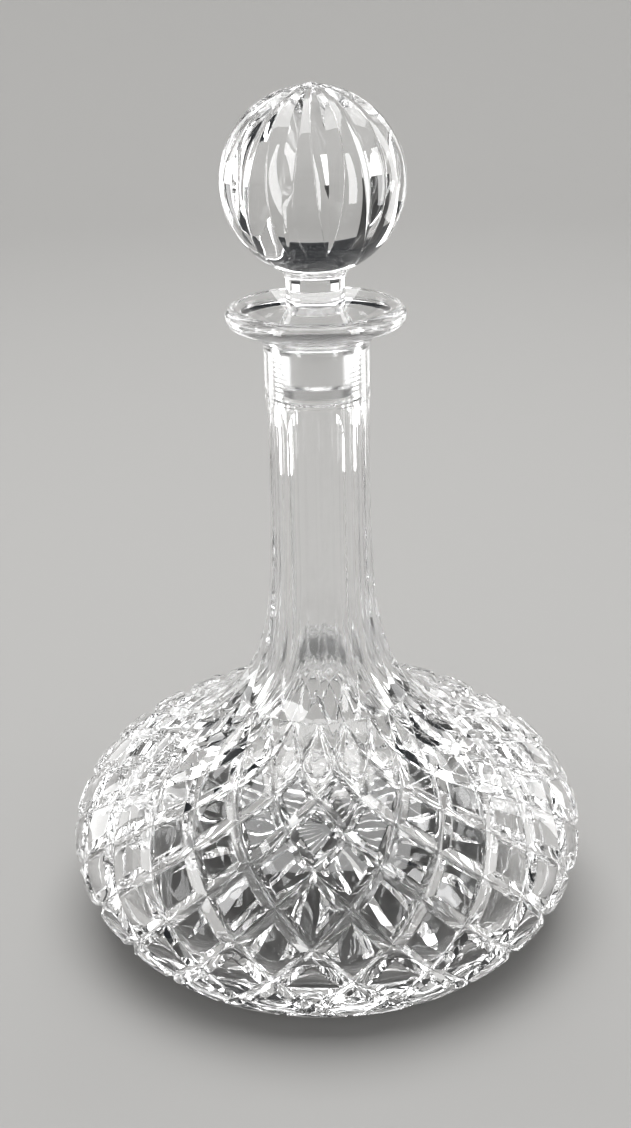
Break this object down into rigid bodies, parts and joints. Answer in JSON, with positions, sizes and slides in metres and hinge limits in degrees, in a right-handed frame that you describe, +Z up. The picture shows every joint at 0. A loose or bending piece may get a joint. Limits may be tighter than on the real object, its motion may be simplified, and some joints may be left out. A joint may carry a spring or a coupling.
{
  "type": "ships decanter",
  "caption": "Cut crystal ships decanter: wide flat-bottomed bowl with a mitre-cut diamond lattice, long fluted neck, flared lip and a lift-out fluted ball stopper.",
  "frame": {"origin": "centre of the flat foot, on the surface that the decanter stands on", "axes": "+Z up along the neck's axis, -Y towards the front of the pictured view, +X to the right"},
  "size_m": [0.179, 0.1788, 0.2859],
  "materials": {
    "crystal_body": "wheel-cut and polished clear lead crystal",
    "crystal_stopper": "wheel-cut and polished clear lead crystal with a ground plug"
  },
  "bodies": {
    "decanter": {"decanter": "crystal_body"},
    "stopper": {"stopper": "crystal_stopper"}
  },
  "joints": [
    {"name": "stopper_lift", "type": "slide", "parent": "decanter", "child": "stopper", "axis": [0, 0, 1], "range_m": [0, 0.045]}
  ]
}
